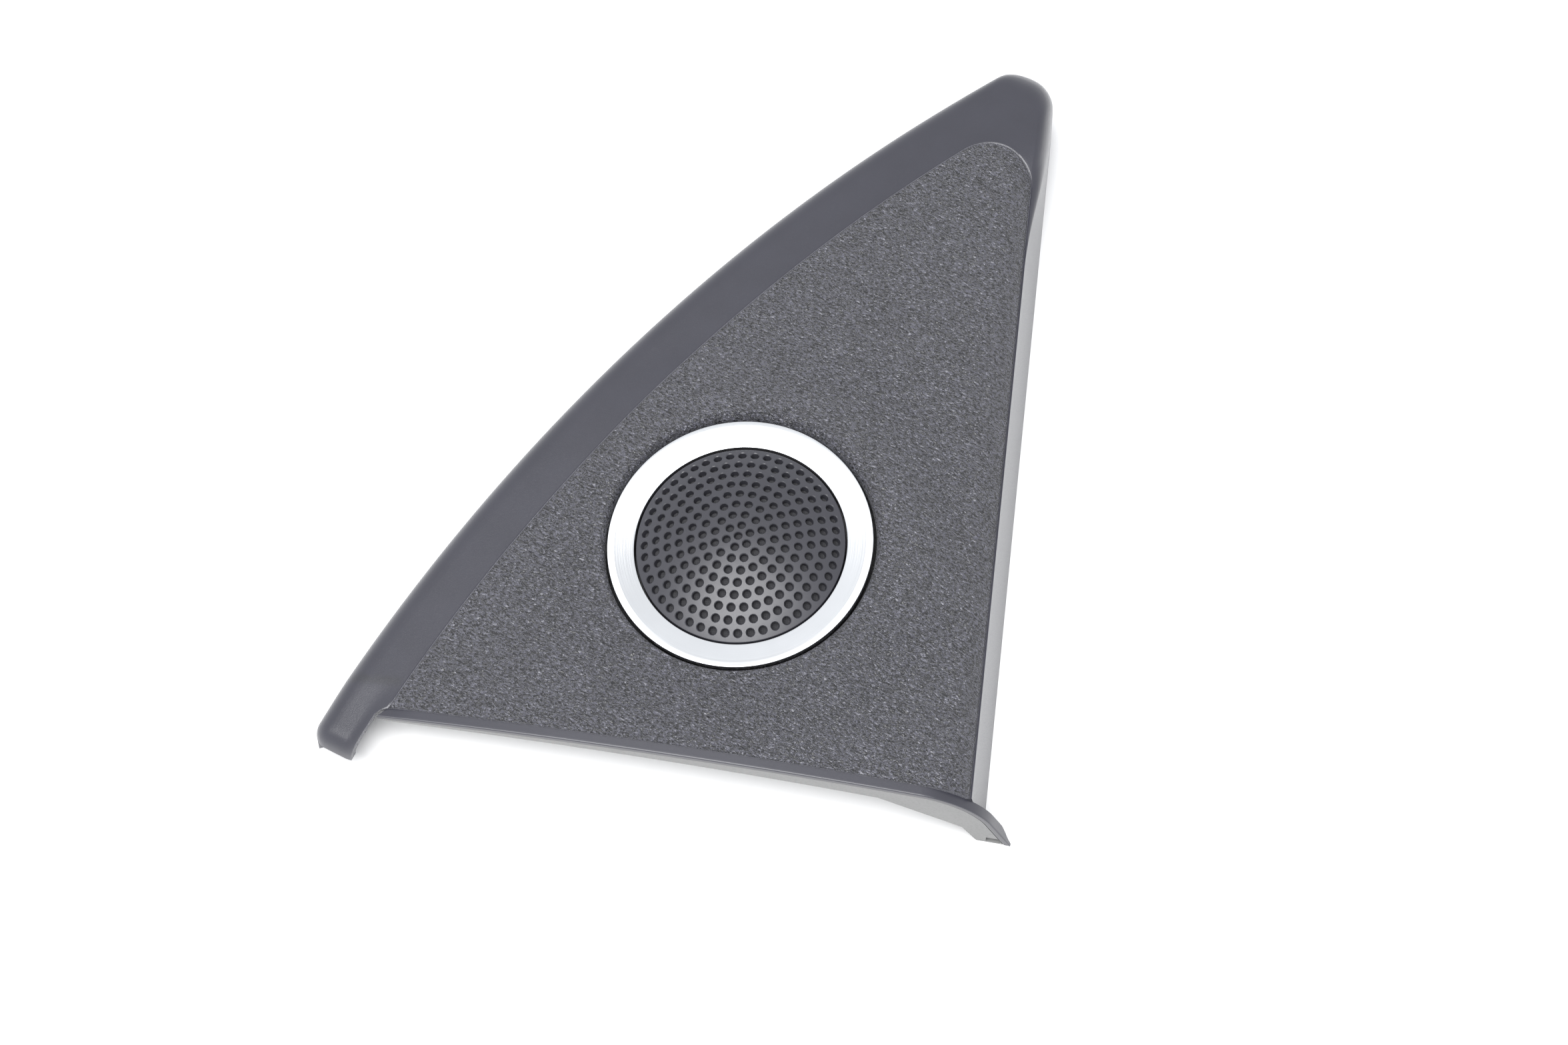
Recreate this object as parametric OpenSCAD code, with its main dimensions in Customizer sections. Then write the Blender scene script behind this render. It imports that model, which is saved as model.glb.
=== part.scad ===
// Door mirror-triangle trim with a built-in 25 mm dome tweeter.
// X runs along the open lower edge, Y towards the tip, Z out of the face.
// The design axes start where the tweeter's axis meets the face; place() then
// moves everything so that the origin is the centre of the resting rim.

/* [Trim panel] */
// Height of the face above the resting rim, at the tweeter's axis
face_h = 17.5; // [16.5:0.1:19]
// Radius of the face's curve from side to side
crown_r = 555; // [450:5:900]
// Radius of the long curved edge
hyp_r = 375.3; // [375:0.1:376]
// Radius of the rounded tip
tip_r = 6.5; // [5:0.1:8]
// Angle that the straight side leans in towards the tip
side_lean = 3.67; // [3:0.01:4]
// Slope of the straight side's wall from upright
side_draft_a = 9; // [6:0.5:10]
// Thickness of the grained skin
skin_t = 1.0; // [0.8:0.1:1.2]
// Thickness of the carrier under the skin
carrier_t = 1.9; // [1.6:0.1:2.2]
// Width of the smooth lip along the lower edge
lip_w = 1.8; // [1.5:0.1:2.5]
// Reach of the foot at the lower edge's outer end
foot_x = 56.5; // [55:0.1:57]

/* [Tweeter] */
// Outer diameter of the metal trim ring
ring_d = 48; // [46:0.1:49]
// Inner diameter of the metal trim ring
ring_inner_d = 38.5; // [38:0.1:39]
// Thickness of the trim ring
ring_t = 1.5; // [1.2:0.1:2]
// Radius of the grille's outer surface
grille_r = 44; // [40:1:60]
// Diameter of each grille hole
hole_d = 1.45; // [1.2:0.05:1.6]
// Rings of holes around the centre hole
hole_rings = 8; // [6:1:8]
// Diameter of the dome at the voice coil
dome_d = 25; // [24:0.1:25.4]

/* [Mounting] */
// Diameter of the locating pin
pin_d = 6; // [5:0.1:8]
// Diameter of the bores for the panel screws
screw_bore_d = 4.2; // [3.5:0.1:4.8]
// Depth of the bores for the panel screws
screw_bore_depth = 10; // [6:0.5:11]

/* [Hidden] */
$fn = 72;

// Panel outline, in design axes
hyp_c = [284.6, -169.6];
step_y = -39.7;
lip_y = step_y - lip_w;
side_at_step = 51.4;
corner_r = 1.5;
side_n = [cos(side_lean), sin(side_lean)];
side_off = side_n * [side_at_step, step_y];
slope_side = 0.05;
slope_long = 0.004;
centre_shift = [6.6, -30.1, 0];
fit = 0.05;

// The ring's plane leans a little towards the driver
aim_x = 2.0;
aim_y = -4.9;
hole_r = 24.5;
ring_y = 0.44;

function sq(a) = a * a;
function face_z(x, y) = face_h + slope_side * x - sq(x) / (2 * crown_r) + slope_long * y;

// A circle's centre that touches the straight side and the long curved edge from inside
function tip_centre(r) = let (
        a = side_off - r - side_n * hyp_c,
        b = sqrt(sq(hyp_r - r) - sq(a)))
    hyp_c + a * side_n + b * [-side_n.y, side_n.x];
tip_c = tip_centre(tip_r);
tip_end_a = atan2(tip_c.y - hyp_c.y, tip_c.x - hyp_c.x);
left_c = [hyp_c.x - sqrt(sq(hyp_r - corner_r) - sq(step_y + corner_r - hyp_c.y)),
    step_y + corner_r];
left_a = atan2(left_c.y - hyp_c.y, left_c.x - hyp_c.x);
right_c = [(side_off - corner_r - side_n.y * (step_y + corner_r)) / side_n.x,
    step_y + corner_r];

// Each outline station is [x, y, angle of the outward normal]
function on_arc(c, r, a) = [c.x + r * cos(a), c.y + r * sin(a), a];
function between(p, q, t) = [p.x + (q.x - p.x) * t, p.y + (q.y - p.y) * t, p.z];
side_start = on_arc(right_c, corner_r, side_lean);
side_end = on_arc(tip_c, tip_r, side_lean);
low_start = on_arc(left_c, corner_r, -90);
low_end = on_arc(right_c, corner_r, -90);
outline = concat(
    [for (i = [0:17]) between(low_start, low_end, i / 17)],
    [for (i = [1:3]) on_arc(right_c, corner_r, -90 + (90 + side_lean) * i / 4)],
    [for (i = [0:11]) between(side_start, side_end, i / 12)],
    [for (i = [0:7]) on_arc(tip_c, tip_r, side_lean + (tip_end_a - side_lean) * i / 8)],
    [for (i = [0:23]) on_arc(hyp_c, hyp_r, tip_end_a + (left_a - tip_end_a) * i / 24)],
    [for (i = [0:3]) on_arc(left_c, corner_r, left_a + (270 - left_a) * i / 4)]
);

// The plan, moved in by d, and the leaning wall of its straight side
module plan(d, height) {
    linear_extrude(height) offset(delta = -d) polygon([for (s = outline) [s.x, s.y]]);
}
module inside_side_wall(d) {
    translate([side_at_step, step_y, 0]) rotate([0, 0, side_lean]) rotate([0, -side_draft_a, 0])
        translate([-200 - d, -60, -20]) cube([200, 240, 80]);
}
// Everything under the crowned face, moved down by d
module under_face(d) {
    crown_x = slope_side * crown_r;
    crown_z = face_h + slope_side * crown_x / 2;
    rotate([atan(slope_long), 0, 0]) translate([crown_x, -80, crown_z - crown_r]) rotate([-90, 0, 0])
        cylinder(r = crown_r - d, h = 240, $fn = 720);
}
module filled_panel(side_d, plan_d, face_d) {
    intersection() {
        plan(plan_d, 30);
        inside_side_wall(side_d);
        under_face(face_d);
    }
}
module open_front(x0, x1, face_d) {
    intersection() {
        translate([x0, -50, -1]) cube([x1 - x0, 50 + step_y + 3, 30]);
        under_face(face_d);
    }
}

module place() translate(centre_shift) children();
module aim() place() translate([0, ring_y, face_h]) rotate([aim_x, aim_y, 0]) children();

module tube(r_out, r_in, z0, z1) {
    translate([0, 0, z0]) difference() {
        cylinder(r = r_out, h = z1 - z0);
        translate([0, 0, -1]) cylinder(r = r_in, h = z1 - z0 + 2);
    }
}
module disc(r, z0, z1) translate([0, 0, z0]) cylinder(r = r, h = z1 - z0);

// Lower edge seen from the end: a long crown, a bend, then the sloping foot
bend_r = 15;
bend_x = 39;
foot_a = 64;
lip_x = -57.7;
lip_step = 0.35;
function lip_z(x) = face_z(x, step_y) - lip_step;
bend_z = lip_z(bend_x);
slope_z = bend_z - bend_r * (1 - cos(foot_a));
// Points of the edge's outer line, moved inwards by d and cut off at height z
function lip_line(d, z) = concat(
    [for (x = [lip_x:6:bend_x - 4]) [x, lip_z(x) - d]],
    [for (a = [0:foot_a / 18:foot_a])
        [bend_x + (bend_r - d) * sin(a), bend_z - bend_r + (bend_r - d) * cos(a)]],
    [[foot_x - d / sin(foot_a) - z / tan(foot_a), z]]
);
function reversed(l) = [for (i = [len(l) - 1:-1:0]) l[i]];
module edge_strip(outline_points, y0, y1) {
    translate([0, y1, 0]) rotate([90, 0, 0]) linear_extrude(y1 - y0) polygon(outline_points);
}

// The short leg beyond the lower edge follows the long curved edge
leg_in_r = 366;
leg_end_a = 160.75;
leg_start_a = 158.9;
leg_h = 10.2;
leg_wall = 1.5;
skin_front_x = -65;
module leg_sweep(a0, a1) {
    translate([hyp_c.x, hyp_c.y, 0]) rotate([0, 0, a0]) rotate_extrude(angle = a1 - a0, $fn = 360)
        children();
}
module leg_profile() {
    polygon([
        [leg_in_r, leg_h - leg_wall], [leg_in_r, leg_h],
        for (b = [90:-22.5:0]) [hyp_r - 3 + 3 * cos(b), leg_h - 3 + 3 * sin(b)],
        [hyp_r, 0], [hyp_r - leg_wall, 0],
        for (b = [0:30:90]) [hyp_r - 3 + 1.5 * cos(b), leg_h - 3 + 1.5 * sin(b)]
    ]);
}
module leg_end_profile() {
    polygon([
        [leg_in_r + 0.6, 0], [leg_in_r, leg_h],
        for (b = [90:-22.5:0]) [hyp_r - 3 + 3 * cos(b), leg_h - 3 + 3 * sin(b)], [hyp_r, 0]
    ]);
}
module trim_skin() color("#5f5f68") place() {
    difference() {
        filled_panel(0, 0, 0);
        filled_panel(skin_t, skin_t, skin_t);
        open_front(skin_front_x, 47.5, skin_t);
        translate([0, ring_y, face_h]) rotate([aim_x, aim_y, 0]) disc(hole_r, -12, 12);
    }
    edge_strip(concat(lip_line(0, 0), reversed(lip_line(skin_t, 0))), lip_y, step_y + 0.95);
    leg_sweep(leg_start_a, leg_end_a) leg_profile();
    leg_sweep(leg_end_a - 0.23, leg_end_a) leg_end_profile();
}

// The carrier sits under the skin, clear of its rounded edges
carrier_side_d = 2.4;
carrier_plan_d = 4.2;
carrier_face_d = 2.4;
back_d = carrier_face_d + carrier_t;
function back_z(p) = face_z(p.x, p.y) - back_d;
pin_p = [-38, -22];
shoulder_z = 8;
shoulder_d = 10;
bosses = [[37, -27], [31, 74]];
towers = [[-16, 38], [20, 60]];
tower_turn = -42;
boss_r = 4.5;
rim_gap = 0.2;
lip_gap = 0.2;
// The end face under the lip grows thicker towards the foot
function lip_t(x) = 0.6 + 0.033 * (x - lip_x);
foot_in_x = 50.3;
slot_x = 52;
slot_w = 2.6;
slot_z = 0.5;
slot_h = 1.8;

collar_in_r = 26.1;
collar_r = 28.5;
collar_top = -3.0;
shelf_in_r = 21.8;
shelf_z = -4.4;
shelf_t = 1.6;
hook_angles = [30, 150, 270];

module carrier_lip_strip(y0, y1) {
    d = skin_t + lip_gap;
    edge_strip(concat(lip_line(d, rim_gap), [[foot_in_x, rim_gap], [47.5, 5.5]],
        reversed([for (x = [lip_x:6:bend_x - 4]) [x, lip_z(x) - d - lip_t(x)]])), y0, y1);
}
module carrier_lip() {
    intersection() {
        difference() {
            carrier_lip_strip(lip_y + fit, step_y - fit);
            translate([slot_x, lip_y - 1, slot_z]) cube([slot_w, 3, slot_h]);
        }
        translate([lip_x + 1.2, -50, 0]) cube([120, 20, 30]);
    }
    intersection() {
        carrier_lip_strip(step_y - 1, step_y + 6);
        translate([lip_x + 1.2, -50, 0]) cube([47.4 - lip_x - 1.2, 20, 30]);
    }
}
module boss(p) {
    difference() {
        translate([p.x, p.y, 1]) cylinder(r = boss_r, h = back_z(p));
        translate([p.x, p.y, 0]) cylinder(d = screw_bore_d, h = 1 + screw_bore_depth);
    }
}
module rib(p, q, z) {
    v = q - p;
    translate([p.x, p.y, z]) rotate([0, 0, atan2(v.y, v.x)]) translate([0, -0.7, 0])
        cube([norm(v), 1.4, min(back_z(p), back_z(q)) + 0.5 - z]);
}
module tower(p) {
    translate([p.x, p.y, 0.8]) rotate([0, 0, tower_turn]) difference() {
        translate([-6, -2, 0]) cube([12, 4, back_z(p)]);
        translate([-3.6, -3, 4]) cube([7.2, 6, 2.2]);
    }
}
ribs = [[[-31, -17.5], [-24.5, -14]], [[26, -13], [33, -24]], [[-20, 20], [-17, 34]]];
post_d = 4;
board_p = [7, 38];
board_size = [20, 13, 1.2];
board_z = 8.6;
board_posts = [[9.5, 40.5], [24.5, 48.5]];
module board_post(p) {
    difference() {
        translate([p.x, p.y, board_z + board_size.z]) cylinder(d = post_d, h = back_z(p) - 9.3);
        translate([p.x, p.y, board_z]) cylinder(d = 1.7, h = 5);
    }
}
module carrier_shell() {
    difference() {
        translate([0, 0, rim_gap]) filled_panel(carrier_side_d, carrier_plan_d, carrier_face_d + rim_gap);
        filled_panel(carrier_side_d + carrier_t, carrier_plan_d + carrier_t, back_d);
        open_front(-70, 44, back_d);
        translate([0, ring_y, face_h]) rotate([aim_x, aim_y, 0]) disc(collar_r - 1, shelf_z - 8, 12);
    }
}
module carrier_collar() {
    translate([0, ring_y, face_h]) rotate([aim_x, aim_y, 0]) {
        tube(collar_r, collar_in_r, shelf_z - shelf_t, collar_top);
        difference() {
            disc(collar_in_r + 1, shelf_z - shelf_t, shelf_z);
            disc(shelf_in_r, shelf_z - shelf_t - 1, shelf_z + 1);
            for (a = hook_angles) rotate([0, 0, a])
                translate([shelf_in_r - 1, -2, shelf_z - shelf_t - 1]) cube([2, 4, 4]);
        }
    }
}
module carrier() color("#c6c6c4") place() {
    carrier_shell();
    carrier_collar();
    carrier_lip();
    translate([pin_p.x, pin_p.y, 0.6]) cylinder(d = pin_d, h = back_z(pin_p));
    translate([pin_p.x, pin_p.y, shoulder_z]) cylinder(d = shoulder_d, h = back_z(pin_p) + 0.9 - shoulder_z);
    for (p = bosses) boss(p);
    for (r = ribs) rib(r[0], r[1], 1.5);
    for (p = towers) tower(p);
    for (p = board_posts) board_post(p);
}

// Tweeter: heights are along its own axis, from the ring's flat face
ring_r = ring_d / 2;
ring_in_r = ring_inner_d / 2;
ring_rim = 1.3;
ring_dish = 1.0;
tape_t = 0.15;
bezel_top = -ring_t - tape_t;
bezel_seat = bezel_top - 2;
gasket_r = 25.8;
grille_rim_r = ring_in_r - 0.35;
grille_rim_z = -1.2;
grille_t = 1.2;
grille_pitch = 2.175;
grille_turn = 24;
cap_c = grille_rim_z - sqrt(sq(grille_r) - sq(grille_rim_r));
cloth_t = 0.3;

module trim_ring() color("#e8e8ea") aim() rotate_extrude() polygon([
    [ring_in_r, -ring_t], [ring_r - 0.1, -ring_t], [ring_r, -ring_t + 0.1],
    [ring_r, -0.1], [ring_r - 0.1, 0], [ring_r - ring_rim, 0], [ring_in_r + 0.1, -ring_dish],
    [ring_in_r, -ring_dish - 0.1]
]);
module ring_tape() color("#d8d4c8") aim() tube(ring_r - 0.8, ring_in_r + 0.4, bezel_top, -ring_t);

screw_circle_r = 20;
screw_angles = [90, 210, 330];
module bezel() color("#2a2a2d") aim() difference() {
    union() {
        tube(ring_r - 0.4, ring_in_r, bezel_seat + 0.01, bezel_top);
        tube(ring_r - 0.4, 17.4, bezel_seat - 0.4, bezel_seat + 0.01);
        tube(21.4, 18.9, -8, bezel_seat - 0.2);
        for (a = screw_angles) rotate([0, 0, a]) translate([screw_circle_r, 0, 0])
            disc(1.4, -8, bezel_seat - 0.2);
        for (a = hook_angles) rotate([0, 0, a]) translate([21.1, -1.5, shelf_z - shelf_t - 1.1])
            cube([1.5, 3, 1]);
    }
    for (a = screw_angles) rotate([0, 0, a]) translate([screw_circle_r, 0, -9])
        cylinder(d = 1.6, h = 5);
}
module cap_shell(r_out, t, rim_r, z_low) {
    intersection() {
        translate([0, 0, cap_c]) difference() {
            sphere(r = r_out, $fn = 180);
            sphere(r = r_out - t, $fn = 180);
        }
        disc(rim_r, z_low, 10);
    }
}
module grille() color("#4a4a50") aim() difference() {
    union() {
        cap_shell(grille_r, grille_t, grille_rim_r, grille_rim_z - 1.4);
        tube(grille_rim_r, grille_rim_r - 1, bezel_seat + 0.02, grille_rim_z - 0.2);
    }
    for (k = [1:hole_rings]) for (i = [0:6 * k - 1])
        rotate([0, 0, grille_turn + 60 * i / k]) translate([k * grille_pitch, 0, -2])
            cylinder(d = hole_d, h = 8, $fn = 16);
    translate([0, 0, -2]) cylinder(d = hole_d, h = 8, $fn = 16);
}
module acoustic_cloth() color("#77777c") aim()
    cap_shell(grille_r - grille_t - fit, cloth_t, grille_rim_r - 1.1, grille_rim_z - 2.2);
module foam_gasket() color("#1c1c1e") aim() tube(gasket_r, 21.9, shelf_z + 0.01, bezel_seat - 0.42);

dome_r = dome_d / 2;
dome_rise = 4.5;
dome_z = -5.7;
dome_t = 0.25;
dome_ball_r = (sq(dome_r) + sq(dome_rise)) / (2 * dome_rise);
surround_r = 15.4;
module dome_diaphragm() color("#b9bcc4") aim() intersection() {
    translate([0, 0, dome_z + dome_rise - dome_ball_r]) difference() {
        sphere(r = dome_ball_r, $fn = 180);
        sphere(r = dome_ball_r - dome_t, $fn = 180);
    }
    disc(dome_r, dome_z, 2);
}
module surround() color("#3a3a3e") aim() rotate_extrude() {
    mid = (dome_r + surround_r) / 2 + 0.1;
    half = (surround_r - dome_r) / 2 - 0.15;
    translate([mid, dome_z + 0.1]) intersection() {
        difference() {
            circle(r = half + 0.12, $fn = 48);
            circle(r = half - 0.12, $fn = 48);
        }
        translate([-3, 0]) square([6, 3]);
    }
    translate([surround_r, dome_z + 0.02]) square([1.6, 0.2]);
}
module front_plate() color("#2d2d30") aim() tube(18.5, 15.3, dome_z - 1.2, dome_z);
module coil_former() color("#c9a36a") aim() tube(dome_r, dome_r - 0.2, -9.6, dome_z);
module voice_coil() color("#b5652f") aim() tube(dome_r + 0.25, dome_r, -9.4, -7.6);
module coil_leads() color("#c98d50") aim() for (s = [-1, 1]) rotate([0, 0, 90 + s * 9])
    translate([dome_r, 0, -6.7]) rotate([0, 90, 0]) cylinder(d = 0.3, h = 1.6, $fn = 16);

pole_r = dome_r - 0.55;
gap_r = dome_r + 0.6;
yoke_r = 15.8;
pole_top = -7.5;
pole_low = -9.6;
magnet_low = -12.3;
yoke_low = -13.8;
module damping_felt() color("#6e6a62") aim() disc(9, pole_top, pole_top + 1);
module pole_piece() color("#9a9ca0") aim() disc(pole_r, pole_low, pole_top);
module magnet() color("#b0b2b6") aim() disc(11, magnet_low, pole_low);
module yoke() color("#8d9095") aim() {
    disc(yoke_r, yoke_low, magnet_low);
    tube(yoke_r, gap_r, magnet_low - 0.1, pole_top);
}
housing_low = -14.8;
lug_z = -9.4;
terminal_gap = 3;
module rear_housing() color("#202023") aim() difference() {
    union() {
        tube(18.5, yoke_r + fit, yoke_low, dome_z - 1.2 - 0.02);
        disc(18.5, housing_low, yoke_low);
        for (a = screw_angles) rotate([0, 0, a]) hull() {
            translate([screw_circle_r, 0, lug_z]) cylinder(r = 1.8, h = 1.38, $fn = 32);
            translate([17, 0, lug_z]) cylinder(r = 2.6, h = 1.38, $fn = 32);
        }
    }
    translate([0, 0, yoke_low]) cylinder(r = yoke_r + fit, h = 20);
    for (a = screw_angles) rotate([0, 0, a]) translate([screw_circle_r, 0, lug_z - 1])
        cylinder(d = 2.2, h = 4);
    for (s = [-1, 1]) translate([s * terminal_gap, 17, -12]) cube([2.5, 5, 0.7], center = true);
}
module terminals() color("#c9b37a") aim() for (s = [-1, 1])
    translate([s * terminal_gap, 18.9, -12]) cube([2.4, 5.6, 0.6], center = true);
module tweeter_screws() color("#b8b8bc") aim() for (a = screw_angles) rotate([0, 0, a])
    translate([screw_circle_r, 0, 0]) difference() {
        union() {
            disc(0.78, lug_z - 0.1, -5);
            disc(1.4, lug_z - 1.3, lug_z - 0.02);
        }
        disc(0.8, lug_z - 2, lug_z - 0.7, $fn = 6);
    }

// Electrical parts behind the tip side of the tweeter, in design axes
function aimed(p) = let (
        q = [p.x, p.y * cos(aim_x) - p.z * sin(aim_x), p.y * sin(aim_x) + p.z * cos(aim_x)])
    [q.x * cos(aim_y) + q.z * sin(aim_y), q.y + ring_y, face_h - q.x * sin(aim_y) + q.z * cos(aim_y)];
lead_d = 1.2;
lead_sides = 8;
function unit(v) = v / norm(v);
function tangent(l, i) = unit(l[min(i + 1, len(l) - 1)] - l[max(i - 1, 0)]);
function lead_ring(p, t) = let (u = unit(cross(t, [1, 0, 0])), w = cross(t, u))
    [for (i = [0:lead_sides - 1]) let (a = 360 * i / lead_sides)
        p + lead_d / 2 * (cos(a) * u + sin(a) * w)];
module lead(route) {
    n = len(route);
    m = lead_sides;
    points = [for (i = [0:n - 1]) each lead_ring(route[i], tangent(route, i))];
    sides = [for (i = [0:n - 2]) for (j = [0:m - 1]) let (k = (j + 1) % m)
        each [[i * m + j, (i + 1) * m + j, (i + 1) * m + k], [i * m + j, (i + 1) * m + k, i * m + k]]];
    ends = [[for (j = [0:m - 1]) j], [for (j = [m - 1:-1:0]) (n - 1) * m + j]];
    polyhedron(points = points, faces = concat(sides, ends));
}
lead_end_y = board_p.y + 1.6;
module tweeter_leads() color("#8c2f2b") place() for (s = [-1, 1]) {
    start = aimed([s * terminal_gap, 21.85, -12]);
    end_x = board_p.x + 11 + 3 * s;
    out = start + [0, 1, 0];
    lead([start, out, [start.x + 1, 25, 5.4], [end_x - 2, 31, 5.4], [end_x, 36, 5.6],
        [end_x, lead_end_y - 0.9, 6.2], [end_x, lead_end_y, 7.2], [end_x, lead_end_y, board_z - 0.02]]);
}
module crossover_board() color("#2f5d3a") place() difference() {
    translate([board_p.x, board_p.y, board_z]) cube(board_size);
    for (p = board_posts) translate([p.x, p.y, board_z - 1]) cylinder(d = 2, h = 4);
}
module capacitor() color("#27408b") place() translate([board_p.x + 4.5, board_p.y + 9, board_z - 3.05])
    rotate([0, 90, 0]) {
        cylinder(d = 6, h = 9.5);
        for (x = [-1, 1]) translate([-0.5, x * 1.2, 0]) cylinder(d = 0.6, h = 10.6);
    }
module board_screws() color("#b8b8bc") place() for (p = board_posts)
    translate([p.x, p.y, 0]) {
        disc(0.83, board_z - 0.05, board_z + 4.5);
        disc(1.6, board_z - 1.2, board_z - 0.02);
    }

socket_p = [28.2, 40];
socket_size = [10, 8, 8];
socket_wall = 1;
socket_z = 1.6;
module connector_socket() color("#e6e2d6") place() difference() {
    translate([socket_p.x, socket_p.y, socket_z]) cube(socket_size);
    translate([socket_p.x + socket_wall, socket_p.y + socket_wall, socket_z - 1])
        cube([socket_size.x - 2 * socket_wall, socket_size.y - 2 * socket_wall, 7.5]);
    for (s = [-1, 1]) translate([socket_p.x + socket_size.x / 2 + 2 * s, socket_p.y + 4, socket_z + 7])
        cube([0.8, 0.8, 4], center = true);
}
module connector_pins() color("#d7b65a") place() for (s = [-1, 1]) {
    x = socket_p.x + socket_size.x / 2 + 2 * s;
    y = socket_p.y + 4;
    translate([x - 0.35, y - 0.35, socket_z + 2]) cube([0.7, 0.7, 7.2]);
    translate([board_p.x + board_size.x - 1.5, y + s * 1.2 - 0.35, board_z + board_size.z])
        cube([x - board_p.x - board_size.x + 1.85, 0.7, 0.5]);
}

// Sheet-steel clips that grip the door frame, one round each tower
clip_t = 0.6;
module spring_clips() color("#a9adb3") place() for (p = towers)
    translate([p.x, p.y, 0.8]) rotate([0, 0, tower_turn]) {
        translate([-3, -2.05 - clip_t, 1]) cube([6, clip_t, 8]);
        translate([-3, 2.05, 1]) cube([6, clip_t, 8]);
        translate([-3, -2.05 - clip_t, -clip_t]) cube([6, 4.1 + 2 * clip_t, clip_t - 0.02]);
        for (s = [-1, 1]) translate([-3, s * (2.05 + clip_t / 2) - clip_t / 2, -clip_t])
            cube([6, clip_t, 1.7]);
    }
module rattle_pads() color("#4c4c4c") place() for (r = ribs) {
    v = r[1] - r[0];
    translate([r[0].x, r[0].y, 0.3]) rotate([0, 0, atan2(v.y, v.x)]) translate([1, -1.5, 0])
        cube([norm(v) - 2, 3, 1.18]);
}

trim_skin();
carrier();
trim_ring();
ring_tape();
bezel();
grille();
acoustic_cloth();
foam_gasket();
front_plate();
dome_diaphragm();
surround();
coil_former();
voice_coil();
coil_leads();
damping_felt();
pole_piece();
magnet();
yoke();
rear_housing();
terminals();
tweeter_screws();
tweeter_leads();
crossover_board();
capacitor();
connector_socket();
connector_pins();
board_screws();
spring_clips();
rattle_pads();
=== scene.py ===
import math

import bmesh
import bpy
from mathutils import Matrix, Vector


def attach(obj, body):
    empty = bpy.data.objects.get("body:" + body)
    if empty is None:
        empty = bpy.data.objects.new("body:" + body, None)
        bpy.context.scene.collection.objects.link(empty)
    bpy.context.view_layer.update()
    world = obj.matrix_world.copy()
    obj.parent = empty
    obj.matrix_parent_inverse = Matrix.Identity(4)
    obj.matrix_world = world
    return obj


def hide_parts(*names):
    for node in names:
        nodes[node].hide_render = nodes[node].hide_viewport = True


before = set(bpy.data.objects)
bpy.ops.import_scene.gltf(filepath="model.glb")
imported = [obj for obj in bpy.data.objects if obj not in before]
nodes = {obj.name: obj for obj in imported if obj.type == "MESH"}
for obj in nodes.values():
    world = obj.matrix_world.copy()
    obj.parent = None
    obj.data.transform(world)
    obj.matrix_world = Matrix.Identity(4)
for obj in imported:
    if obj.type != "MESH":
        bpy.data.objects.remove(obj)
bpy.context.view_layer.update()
mm = 0.001
print("stage: frame loaded with", len(nodes), "nodes")


# how the tweeter sits in the panel
ringLean = (2.0, -4.9)  # degrees about X, then Y
ringTurn = (Matrix.Rotation(math.radians(ringLean[1]), 3, "Y")
            @ Matrix.Rotation(math.radians(ringLean[0]), 3, "X"))
ringAxis = ringTurn @ Vector((0, 0, 1))


def middleOfFlat(node, axis):
    # centre of the node's outermost flat face along an axis
    points = [v.co for v in nodes[node].data.vertices]
    top = max(p.dot(axis) for p in points)
    flat = [p for p in points if p.dot(axis) > top - 0.02 * mm]
    along = [ringTurn @ Vector((1, 0, 0)), ringTurn @ Vector((0, 1, 0))]
    spans = [[p.dot(d) for p in flat] for d in along]
    return axis * top + sum((d * (max(s) + min(s)) / 2 for d, s in zip(along, spans)), Vector())


ringCentre = middleOfFlat("trim_ring", ringAxis)
ringForward = 0.44  # mm from the panel's own origin to the ring's centre
panelOrigin = ringCentre - Vector((0, ringForward * mm, 0))


def fromRing(x, y, z):
    # millimetres in the tweeter's own axes, as metres in the scene
    return ringCentre + ringTurn @ Vector((x, y, z)) * mm


def fromPanel(x, y, z):
    # millimetres from the panel's origin, as metres in the scene
    return Vector((panelOrigin.x + x * mm, panelOrigin.y + y * mm, z * mm))


# seen from above the lower edge, on white paper under a soft tent
cameraLook = {
    "azimuth": 10.3,
    "elevation": 65.0,
    "distance": 0.624,
    "lens": 80.0,
    "offRight": 0.0080,
    "offUp": 0.00394,
}


def makeCamera(look):
    azimuth = math.radians(look["azimuth"])
    elevation = math.radians(look["elevation"])
    back = Vector((math.sin(azimuth) * math.cos(elevation), -math.cos(azimuth) * math.cos(elevation),
                   math.sin(elevation)))
    right = Vector((math.cos(azimuth), math.sin(azimuth), 0))
    up = back.cross(right)
    data = bpy.data.cameras.new("camera")
    data.lens = look["lens"]
    data.sensor_width = 36.0
    data.clip_start = 0.01
    camera = bpy.data.objects.new("camera", data)
    place = panelOrigin + right * look["offRight"] + up * look["offUp"] + back * look["distance"]
    camera.matrix_world = Matrix.Translation(place) @ Matrix((right, up, back)).transposed().to_4x4()
    bpy.context.collection.objects.link(camera)
    bpy.context.scene.camera = camera


studio = {
    "overhead": 0.80,       # strength of the tent straight up
    "horizon": 1.55,        # and level with the table
    "tentTint": (0.955, 0.970, 1.0, 1.0),
    "boxPower": 18.0,
    "boxSize": 0.72,
    "boxPlace": (-0.13, -0.27, 0.95),
    "floorSize": 3.0,
    "floorTone": 0.76,
}


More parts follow.
